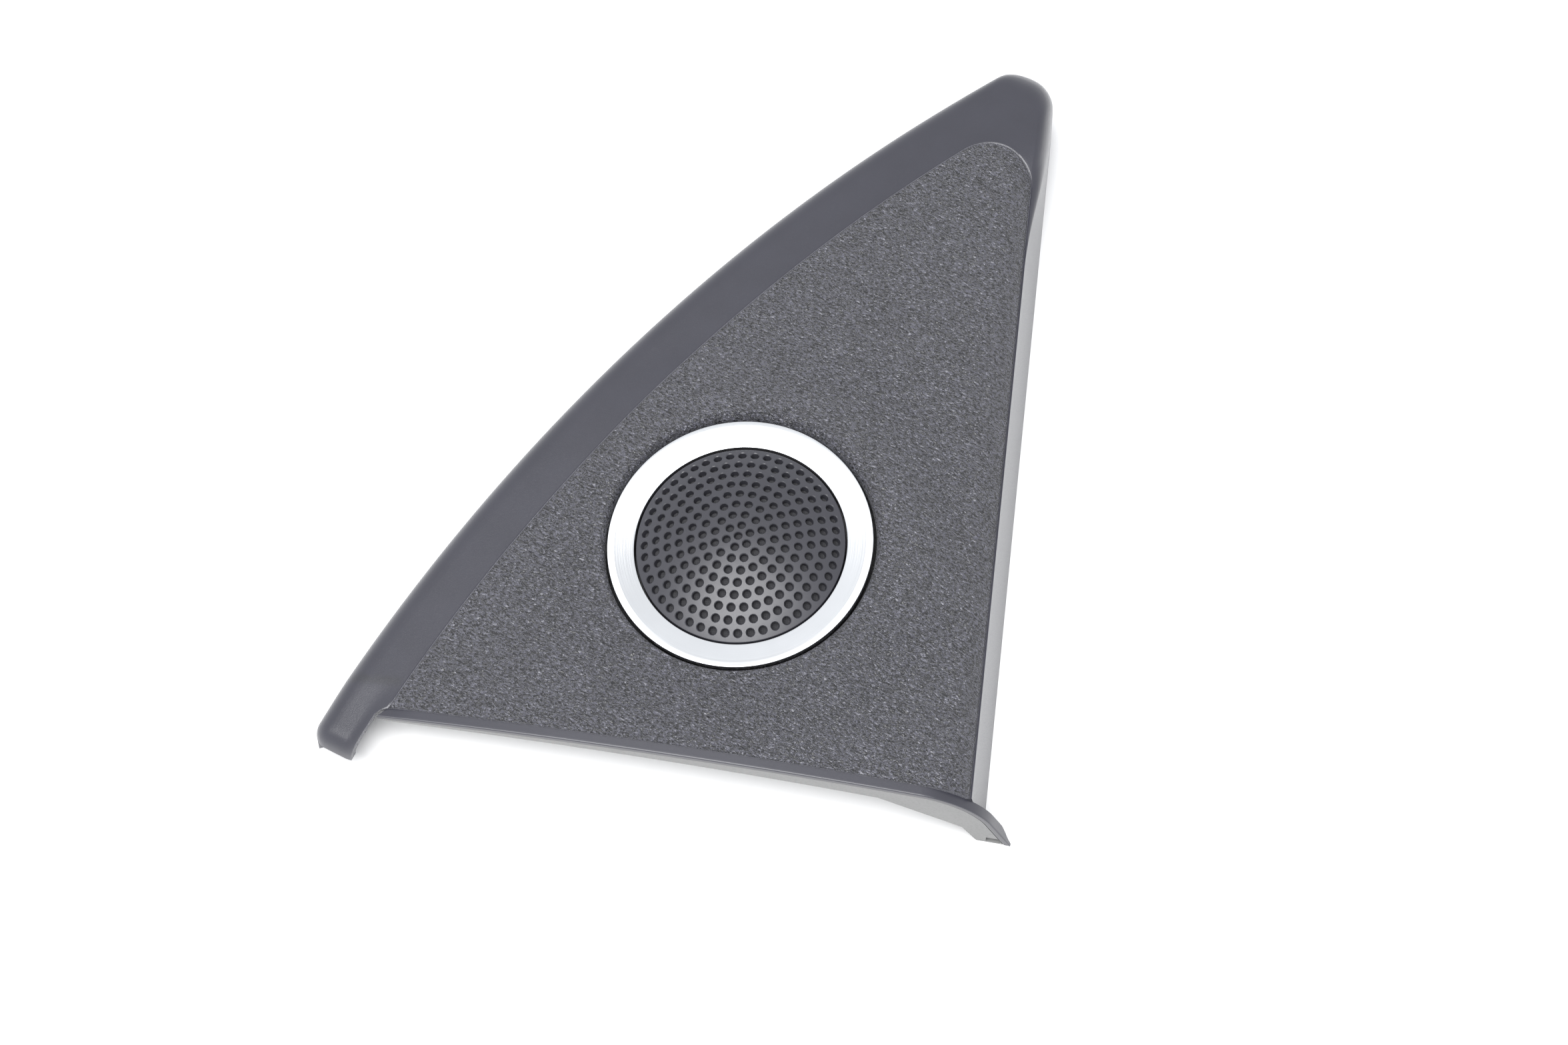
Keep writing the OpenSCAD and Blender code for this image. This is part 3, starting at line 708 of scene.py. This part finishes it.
def skinStations(depth):
    # matching points of the crease, the wall's top and its base, from the lower right round to the leg
    crease = inset(panel["creaseLines"], depth, True)
    top = inset(panel["topLines"], depth)
    base = inset(panel["baseLines"], depth)
    upright = inset(panel["tipTopLines"], depth)
    creaseTip = tipCentre(panel["creaseLines"])
    joinY = (creaseTip + sideNormal * panel["creaseLines"][2]).y
    tipEnd = math.atan2(creaseTip.y - edgeCentre.y, creaseTip.x - edgeCentre.x)
    foot = math.pi - math.asin((panel["stepY"] - edgeCentre.y) / panel["creaseLines"][1])
    stations = []
    for i in range(panel["sideSteps"]):
        y = panel["stepY"] + (joinY - panel["stepY"]) * i / panel["sideSteps"]
        stations.append(tuple(sideStart(lines, y) for lines in (crease, top, base, upright)))
    ring = [outlinePath(lines, sideStart(lines, joinY), tipEnd, panel["tipSteps"])
            for lines in (crease, top, base, upright)]
    stations += list(zip(*ring))[:-1]
    for i, (inner, outer, low, tall) in enumerate(stations):
        stations[i] = (inner, outer.lerp(tall, smoothStep(panel["tipFrom"], panel["tipTo"], outer.y)), low)
    for i in range(panel["edgeSteps"] + 1):
        a = tipEnd + (foot - tipEnd) * i / panel["edgeSteps"]
        stations.append(tuple(onLines(lines, a) for lines in (crease, top, base)))
    return stations, foot


def bandColumns(width, roll):
    # distances from the crease, closer together at the crease and along the edge roll
    near = [0.0, 0.13, 0.26, 0.42]
    squeeze = min(1.0, 0.5 * width / near[-1])
    near = [d * squeeze for d in near]
    rolled = [roll * (1 - math.sin(math.radians(b))) for b in range(0, 91, 15)]
    start, stop = near[-1], width - rolled[0]
    middle = [start + (stop - start) * k / 6 for k in range(1, 6)]
    return near + middle + [width - e for e in rolled]


def bandRow(crease, top, base, depth, wall):
    width = (top - crease).length
    angle = insideDistance(top, inset(panel["topLines"], depth))[1]
    wish = 0.5 + (panel["tipRoll"] - 0.5) * smoothStep(panel["tipFrom"], panel["tipTo"] + 2, top.y)
    wish += (panel["edgeRoll"] - wish) * smoothStep(60.0, 132.0, angle)
    roll = min(max(wish - depth, 0.12), 0.45 * width if wish < 1 else 0.9 * width)
    along = (top - crease) / width
    row = []
    for d in bandColumns(width, roll):
        p = crease + along * d
        row.append(fromPanel(p.x, p.y, surfaceHeight(p, depth) - rollDrop(width - d, roll)))
    low = row[-1].z / mm
    for k in range(1, wall + 1):
        p = top + (base - top) * (k / wall)
        row.append(fromPanel(p.x, p.y, low * (1 - k / wall)))
    return row


def legRow(fraction, foot, depth, wall):
    # beyond the step the band runs on as a short leg with a rolled end
    end = math.radians(panel["legEnd"]) - depth / panel["baseLines"][1]
    angle = foot + (end - foot) * fraction
    crease = panel["creaseLines"][1]
    inner = crease + (panel["legInner"] - crease) * smoothStep(0.0, 0.16, fraction)
    top = panel["topLines"][1] - depth
    roll = panel["edgeRoll"] - depth
    row = []
    for d in bandColumns(top - inner, roll):
        radius = inner + d
        over = max(0.0, roll - (top - radius))
        past = max(0.0, roll - (end - angle) * radius)
        reach = math.hypot(over, past)
        squeeze = max(over, past) / reach if reach > 0 else 1.0
        newRadius = radius - over + over * squeeze
        newAngle = angle - (past - past * squeeze) / radius
        p = edgeCentre + newRadius * Vector((math.cos(newAngle), math.sin(newAngle)))
        fall = rollDrop(roll - reach * squeeze, roll)
        row.append((p, surfaceHeight(p, depth) - fall))
    out = [fromPanel(p.x, p.y, z) for p, z in row]
    p, low = row[-1]
    spread = panel["baseLines"][1] - panel["topLines"][1]
    for k in range(1, wall + 1):
        q = p + (p - edgeCentre).normalized() * spread * k / wall
        out.append(fromPanel(q.x, q.y, low * (1 - k / wall)))
    return out


def faceRow(crease, normal, depth, bottom):
    # from the hole's wall, over its rolled edge, out to the crease
    phi = math.atan2(crease.y - ringForward, crease.x)
    hole = panel["holeRadius"] + depth * 0.9
    outerRoll = panel["holeRoll"] + panel["holeRollTilt"] * math.sin(phi)
    roll = max(outerRoll - depth, 0.15)
    row = [fromRing(hole * math.cos(phi), hole * math.sin(phi), -z) for z in
           (panel["holeDeep"], (panel["holeDeep"] + outerRoll) / 2 + depth / 4)]
    for b in range(0, 76, 15):
        r = hole + roll * (1 - math.cos(math.radians(b)))
        z = -depth - roll * (1 - math.sin(math.radians(b)))
        row.append(fromRing(r * math.cos(phi), r * math.sin(phi), z))
    startAt = ringTurn @ Vector(((hole + roll) * math.cos(phi), (hole + roll) * math.sin(phi), 0))
    start = Vector((startAt.x, startAt.y + ringForward))
    ray = crease - start
    length = ray.length
    ray.normalize()
    lean = max(ray.dot(normal), 0.35)
    near = [5.2, 4.4, 3.6, 2.8, 2.0, 1.2, 0.6, 0.26, 0.13, 0.0]
    near = [min(d / lean, length * (0.9 if d > 1 else 0.2)) for d in near]
    for i in range(1, len(near)):
        near[i] = min(near[i], near[i - 1] - 0.01) if near[i] > 0 else 0.0
    free = length - near[0]
    distances = [free * (k / 14) ** 1.25 for k in range(14)] + [length - d for d in near]
    for d in distances:
        p = start + ray * d
        z = surfaceHeight(p, depth)
        if bottom and depth == 0:
            z -= rollDrop((length - d) * lean, 0.12)
        row.append(fromPanel(p.x, p.y, z))
    return row


def makeSkin():
    wallRows = 7
    sheets = []
    for layer in (0, 1):
        depth = panel["wall"] * layer
        stations, foot = skinStations(depth)
        band, face = [], []
        for i, (crease, top, base) in enumerate(stations):
            band.append(bandRow(crease, top, base, depth, wallRows))
            ahead = stations[min(i + 1, len(stations) - 1)][0] - stations[max(i - 1, 0)][0]
            normal = Vector((ahead.y, -ahead.x)).normalized()
            face.append(faceRow(crease, normal, depth, False))
        for k in range(1, panel["legSteps"] + 1):
            fraction = 0.35 * k / panel["legSteps"] + 0.65 * math.sin(math.pi / 2 * k / panel["legSteps"])
            thick = depth * (1 + (panel["legWall"] / panel["wall"] - 1) * smoothStep(0.0, 0.3, fraction))
            band.append(legRow(fraction, foot, thick, wallRows))
        first, last = stations[0][0], stations[-1][0]
        for k in range(1, panel["bottomSteps"]):
            p = last + (first - last) * k / panel["bottomSteps"]
            face.append(faceRow(p, Vector((0, -1)), depth, True))
        sheets.append((band, face))
    points, faces, zones = [], [], []

    def place(grid, zone):
        start = len(points)
        for row in grid:
            points.extend(row)
            zones.extend(zone(row))
        return start

    starts = []
    for band, face in sheets:
        a = place(face, lambda row: [2.0] * (len(row) - 1) + [1.5])
        b = place(band, lambda row: [1.5] + [1.0] * (len(row) - 1))
        starts.append((a, b))
    faceCount, faceWide = len(sheets[0][1]), len(sheets[0][1][0])
    bandCount, bandWide = len(sheets[0][0]), len(sheets[0][0][0])

    def span(outer, inner, u, v, flip=False):
        # the quad between two neighbours of the outside and the same two of the inside
        quad = (outer + u, outer + v, inner + v, inner + u)
        faces.append(quad[::-1] if flip else quad)

    def quads(start, count, wide, closed, flip):
        for i in range(count if closed else count - 1):
            j = (i + 1) % count
            for k in range(wide - 1):
                span(start + i * wide, start + j * wide, k, k + 1, flip)

    for layer, (a, b) in enumerate(starts):
        quads(a, faceCount, faceWide, True, layer == 1)
        quads(b, bandCount, bandWide, False, layer == 1)
    (outFace, outBand), (inFace, inBand) = starts
    shared = panel["sideSteps"] + panel["tipSteps"] + panel["edgeSteps"]
    for i in range(faceCount):
        here, there = i * faceWide, (i + 1) % faceCount * faceWide
        span(outFace, inFace, here, there)  # the hole's lower rim
        if i >= shared:  # the step along the lower edge
            span(outFace, inFace, there + faceWide - 1, here + faceWide - 1)
    for i in range(bandCount - 1):
        here, there = i * bandWide, (i + 1) * bandWide
        span(outBand, inBand, there + bandWide - 1, here + bandWide - 1)  # the resting rim
        if i >= shared:  # the leg's inner edge
            span(outBand, inBand, here, there)
    last = (bandCount - 1) * bandWide
    for k in range(bandWide - 1):
        span(outBand, inBand, k + 1, k)  # the wall's lower end
        span(outBand, inBand, last + k + 1, last + k, True)  # the leg's end
    return points, faces, zones


lip = {
    "depth": 1.8, "step": 0.35, "thick": 1.0, "startX": -57.7, "bendX": 39.0, "bendRadius": 15.0,
    "footAngle": 64.0, "footX": 56.5, "round": 0.22, "behind": 0.06, "taperFrom": 5.0,
    "taper": 0.75, "startSlant": 1.6, "steps": 60, "bendSteps": 28,
}


def lipLine(d):
    # the lower edge's outer line seen from its end, moved inwards by d
    bend = math.radians(lip["footAngle"])
    bendZ = faceHeight(lip["bendX"], panel["stepY"]) - lip["step"]
    line = []
    for i in range(lip["steps"] + 1):
        x = lip["startX"] + (lip["bendX"] - 3 - lip["startX"]) * i / lip["steps"]
        line.append((x, faceHeight(x, panel["stepY"]) - lip["step"] - d))
    for i in range(lip["bendSteps"] + 1):
        a = bend * i / lip["bendSteps"]
        line.append((lip["bendX"] + (lip["bendRadius"] - d) * math.sin(a),
                     bendZ - lip["bendRadius"] + (lip["bendRadius"] - d) * math.cos(a)))
    footX = lip["footX"] - d / math.sin(bend)
    lastX, lastZ = line[-1]
    line += [(lastX + (footX - lastX) * k / 6, lastZ * (1 - k / 6)) for k in range(1, 7)]
    return line


def makeLip():
    # closed strip: back edge, smooth top, rounded front corner, front face and underside
    front = panel["stepY"] - lip["depth"]
    back = panel["stepY"] + lip["behind"]
    r = lip["round"]
    section = [(back, 0.0), (panel["stepY"] - 0.4, 0.0), (front + 2 * r, 0.0)]
    section += [(front + r - r * math.sin(a), r - r * math.cos(a)) for a in
                [math.radians(b) for b in range(0, 91, 18)]]
    section += [(front, lip["thick"]), (back, lip["thick"])]
    lines = {d: lipLine(d) for d in {s[1] for s in section}}
    count = len(lines[0.0])
    points = []
    for i in range(count):
        for y, d in section:
            x, z = lines[d][i]
            x += lip["startSlant"] * (y - front) / lip["depth"] * max(0.0, 1 - i / 4)
            y = front + (y - front) * (1 - lip["taper"] * smoothStep(lip["taperFrom"], 0.0, z))
            points.append(fromPanel(x, y, max(z, 0.0)))
    size = len(section)
    faces = [tuple(range(size)), tuple(reversed(range((count - 1) * size, count * size)))]
    for i in range(count - 1):
        for j in range(size):
            k = (j + 1) % size
            faces.append((i * size + j, i * size + k, (i + 1) * size + k, (i + 1) * size + j))
    return points, faces


def makeTrimSkin():
    points, faces, zones = makeSkin()
    lipPoints, lipFaces = makeLip()
    offset = len(points)
    faces += [tuple(offset + v for v in face) for face in lipFaces]
    skin = makeObject("trimSkin", points + lipPoints, faces, finishes["skin"])
    zones += [0.0] * len(lipPoints)
    layer = skin.data.attributes.new("zone", "FLOAT", "POINT")
    layer.data.foreach_set("value", zones)
    weld(skin, 0.002 * mm)
    skin.data.set_sharp_from_angle(angle=math.radians(33))
    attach(skin, "trim")
    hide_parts("trim_skin")


def weld(thing, distance):
    work = bmesh.new()
    work.from_mesh(thing.data)
    bmesh.ops.remove_doubles(work, verts=work.verts, dist=distance)
    bmesh.ops.recalc_face_normals(work, faces=work.faces)
    work.to_mesh(thing.data)
    work.free()
    thing.data.shade_smooth()


makeTrimSkin()
print("stage: trim skin")


ringShape = {"outer": 24.0, "inner": 19.25, "thick": 1.5, "rim": 1.3, "dish": 1.0, "steps": 256}


def makeRing(shape):
    outer, inner, dish = shape["outer"], shape["inner"], shape["dish"]
    flat = outer - shape["rim"]
    profile = [(inner, -shape["thick"]), (inner, -dish - 0.22)]
    profile += arcPoints(inner + 0.15, -dish - 0.15, 0.15, 180, 105, 4)
    start = inner + 0.2
    profile += [(start + (flat - start) * k / 6, -dish * (1 - k / 6)) for k in range(1, 6)]
    profile += [(flat - 0.05, -0.035), (flat, -0.012), (flat + 0.06, -0.002), (outer - 0.5, 0.0)]
    profile += arcPoints(outer - 0.16, -0.16, 0.16, 90, 0, 5)
    profile += [(outer, -shape["thick"] + 0.1), (outer - 0.1, -shape["thick"])]
    points, faces = lathe(profile[::-1], shape["steps"])
    ring = makeObject("trimRing", points, faces, finishes["ring"])
    weld(ring, 0.001 * mm)
    ring.data.set_sharp_from_angle(angle=math.radians(24))
    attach(ring, "trim")
    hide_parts("trim_ring")


makeRing(ringShape)
print("stage: trim ring")


grille = {
    "dome": 44.0, "rim": 18.9, "rimZ": -1.2, "thick": 1.2, "skirt": 1.0, "skirtLow": -3.6,
    "holeRadius": 0.725, "mouth": 0.87, "mouthDeep": 0.16, "pitch": 2.175, "rings": 8, "turn": 24.0,
    "steps": 192,
}
domeCentreZ = grille["rimZ"] - math.sqrt(grille["dome"] ** 2 - grille["rim"] ** 2)


def capProfile(shape):
    # the grille's section from the middle of its top, over the rim, down the skirt and back inside
    low = shape["dome"] - shape["thick"]
    outer = [(shape["dome"] * math.sin(a), domeCentreZ + shape["dome"] * math.cos(a)) for a in
             [math.asin((shape["rim"] - 0.25) / shape["dome"]) * k / 26 for k in range(27)]]
    rim = arcPoints(shape["rim"] - 0.22, outer[-1][1] - 0.26, 0.22, 60, 0, 4)
    inner = [(low * math.sin(a), domeCentreZ + low * math.cos(a)) for a in
             [math.asin((shape["rim"] - shape["skirt"]) / low) * k / 20 for k in range(20, -1, -1)]]
    skirt = [(shape["rim"], shape["skirtLow"]), (shape["rim"] - shape["skirt"], shape["skirtLow"])]
    return outer + rim + skirt + inner


def turnedShell(profile, steps):
    # like lathe, but the profile starts and ends on the axis
    points = [fromRing(0, 0, profile[0][1]), fromRing(0, 0, profile[-1][1])]
    ring = profile[1:-1]
    for i in range(steps):
        angle = 2 * math.pi * i / steps
        points += [fromRing(r * math.cos(angle), r * math.sin(angle), z) for r, z in ring]
    size = len(ring)
    faces = []
    for i in range(steps):
        here, there = 2 + i * size, 2 + (i + 1) % steps * size
        faces.append((0, here, there))
        faces += [(here + j, here + j + 1, there + j + 1, there + j) for j in range(size - 1)]
        faces.append((1, there + size - 1, here + size - 1))
    return points, faces


def geometryTree(name, inputs):
    tree = bpy.data.node_groups.new(name, "GeometryNodeTree")
    tree.interface.new_socket("Geometry", in_out="INPUT", socket_type="NodeSocketGeometry")
    for title, kind in inputs:
        tree.interface.new_socket(title, in_out="INPUT", socket_type="NodeSocket" + kind)
    tree.interface.new_socket("Geometry", in_out="OUTPUT", socket_type="NodeSocketGeometry")
    return tree, tree.nodes.new("NodeGroupInput").outputs, tree.nodes.new("NodeGroupOutput").inputs


def vectorFrom(tree, x, y, z):
    return addNode(tree, "ShaderNodeCombineXYZ", {"X": x, "Y": y, "Z": z}).outputs[0]


def makePerforationTree():
    # rings of six more holes each, square to a domed surface, cut out of the given mesh
    tree, given, out = geometryTree("perforation", [
        ("Rings", "Int"), ("Pitch", "Float"), ("Hole Radius", "Float"), ("Mouth Radius", "Float"),
        ("Mouth Depth", "Float"), ("Dome Radius", "Float"), ("Dome Centre", "Float"), ("Turn", "Float"),
        ("Place", "Vector"), ("Lean", "Vector"), ("Material", "Material")])
    nextRing = calc(tree, "ADD", given["Rings"], 1.0)
    count = scaleAdd(tree, times(tree, given["Rings"], nextRing), 3.0, 1.0)
    index = addNode(tree, "GeometryNodeInputIndex").outputs[0]
    root = calc(tree, "SQRT", calc(tree, "MAXIMUM", scaleAdd(tree, index, 12.0, -3.0), 0.0))
    ring = calc(tree, "FLOOR", scaleAdd(tree, root, 1 / 6, 0.5001))
    before = times(tree, times(tree, ring, calc(tree, "SUBTRACT", ring, 1.0)), 3.0)
    inRing = calc(tree, "SUBTRACT", calc(tree, "SUBTRACT", index, before), 1.0)
    sixth = calc(tree, "DIVIDE", inRing, calc(tree, "MAXIMUM", ring, 1.0))
    angle = scaleAdd(tree, sixth, math.pi / 3, given["Turn"])
    radius = times(tree, ring, given["Pitch"])
    x = times(tree, radius, calc(tree, "COSINE", angle))
    y = times(tree, radius, calc(tree, "SINE", angle))
    rise = calc(tree, "SQRT", calc(tree, "SUBTRACT", calc(tree, "POWER", given["Dome Radius"], 2.0),
                                   calc(tree, "POWER", radius, 2.0)))
    position = vectorFrom(tree, x, y, calc(tree, "ADD", rise, given["Dome Centre"]))
    outward = vectorFrom(tree, x, y, rise)
    spots = addNode(tree, "GeometryNodePoints", {"Count": count, "Position": position}).outputs[0]
    aim = addNode(tree, "FunctionNodeAlignRotationToVector", {"Vector": outward}, axis="Z").outputs[0]
    drill = addNode(tree, "GeometryNodeMeshCylinder", {
        "Vertices": 20, "Radius": given["Hole Radius"], "Depth": 6.0 * mm}).outputs["Mesh"]
    sink = addNode(tree, "GeometryNodeMeshCone", {
        "Vertices": 20, "Radius Top": scaleAdd(tree, given["Mouth Radius"], 3.0,
                                           times(tree, given["Hole Radius"], -2.0)),
        "Radius Bottom": given["Hole Radius"], "Depth": times(tree, given["Mouth Depth"], 3.0),
    }).outputs["Mesh"]
    lower = vectorFrom(tree, 0.0, 0.0, times(tree, given["Mouth Depth"], -1.0))
    sunk = addNode(tree, "GeometryNodeTransform", {"Geometry": sink, "Translation": lower}).outputs[0]
    cutters = []
    for tool in (drill, sunk):
        copies = addNode(tree, "GeometryNodeInstanceOnPoints", {
            "Points": spots, "Instance": tool, "Rotation": aim})
        placed = addNode(tree, "GeometryNodeTransform", {
            "Geometry": copies.outputs[0], "Translation": given["Place"], "Rotation": given["Lean"]})
        cutters.append(addNode(tree, "GeometryNodeRealizeInstances", {0: placed.outputs[0]}).outputs[0])
    cut = given["Geometry"]
    for cutter in cutters:
        node = addNode(tree, "GeometryNodeMeshBoolean", {0: cut}, operation="DIFFERENCE", solver="MANIFOLD")
        tree.links.new(cutter, node.inputs[1])
        cut = node.outputs[0]
    whole = addNode(tree, "GeometryNodeRealizeInstances", {0: cut}).outputs[0]
    dressed = addNode(tree, "GeometryNodeSetMaterial", {"Geometry": whole, "Material": given["Material"]})
    tree.links.new(dressed.outputs[0], out["Geometry"])
    return tree


def runTree(thing, tree, values):
    # sets the modifier's inputs by identifier, then keeps the result as a plain mesh
    modifier = thing.modifiers.new(tree.name, "NODES")
    modifier.node_group = tree
    for item in tree.interface.items_tree:
        if item.in_out == "INPUT" and item.name in values:
            modifier[item.identifier] = values[item.name]
    thing.update_tag()
    graph = bpy.context.evaluated_depsgraph_get()
    graph.update()
    result = bpy.data.meshes.new_from_object(thing.evaluated_get(graph))
    thing.modifiers.remove(modifier)
    thing.data = result


def roundOver(thing, centre, radius):
    # exact normals on the domed outside, so that the cut holes don't dent its gloss
    mesh = thing.data
    mesh.shade_smooth()
    mesh.set_sharp_from_angle(angle=math.radians(22))
    normals = [Vector(c.vector) for c in mesh.corner_normals]
    for face in mesh.polygons:
        for loop in face.loop_indices:
            out = mesh.vertices[mesh.loops[loop].vertex_index].co - centre
            if abs(out.length - radius) < 0.01 * mm and face.normal.dot(out) > 0.97 * out.length:
                normals[loop] = out.normalized()
    mesh.normals_split_custom_set([tuple(n) for n in normals])


def makeGrille(shape):
    points, faces = turnedShell(capProfile(shape), shape["steps"])
    cap = makeObject("grille", points, faces, finishes["grille"])
    weld(cap, 0.0005 * mm)
    turn = ringTurn.to_euler("XYZ")
    runTree(cap, makePerforationTree(), {
        "Rings": shape["rings"], "Pitch": shape["pitch"] * mm, "Hole Radius": shape["holeRadius"] * mm,
        "Mouth Radius": shape["mouth"] * mm, "Mouth Depth": shape["mouthDeep"] * mm,
        "Dome Radius": shape["dome"] * mm, "Dome Centre": domeCentreZ * mm,
        "Turn": math.radians(shape["turn"]), "Place": tuple(ringCentre), "Lean": (turn.x, turn.y, turn.z),
        "Material": finishes["grille"]})
    roundOver(cap, fromRing(0, 0, domeCentreZ), shape["dome"] * mm)
    print("grille faces:", len(cap.data.polygons))
    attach(cap, "trim")
    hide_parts("grille")


makeGrille(grille)


clothShape = {"radius": 42.7, "thick": 0.25, "rim": 17.75, "steps": 96}


def makeCloth(shape):
    upper, lower = shape["radius"], shape["radius"] - shape["thick"]
    profile = []
    for radius, order in ((upper, range(17)), (lower, range(16, -1, -1))):
        edge = math.asin(shape["rim"] / radius)
        profile += [(radius * math.sin(edge * k / 16), domeCentreZ + radius * math.cos(edge * k / 16))
                    for k in order]
    points, faces = turnedShell(profile, shape["steps"])
    cloth = makeObject("acousticCloth", points, faces, finishes["cloth"])
    weld(cloth, 0.0005 * mm)
    cloth.data.set_sharp_from_angle(angle=math.radians(40))
    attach(cloth, "trim")
    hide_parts("acoustic_cloth")


makeCloth(clothShape)
print("stage: grille and cloth")
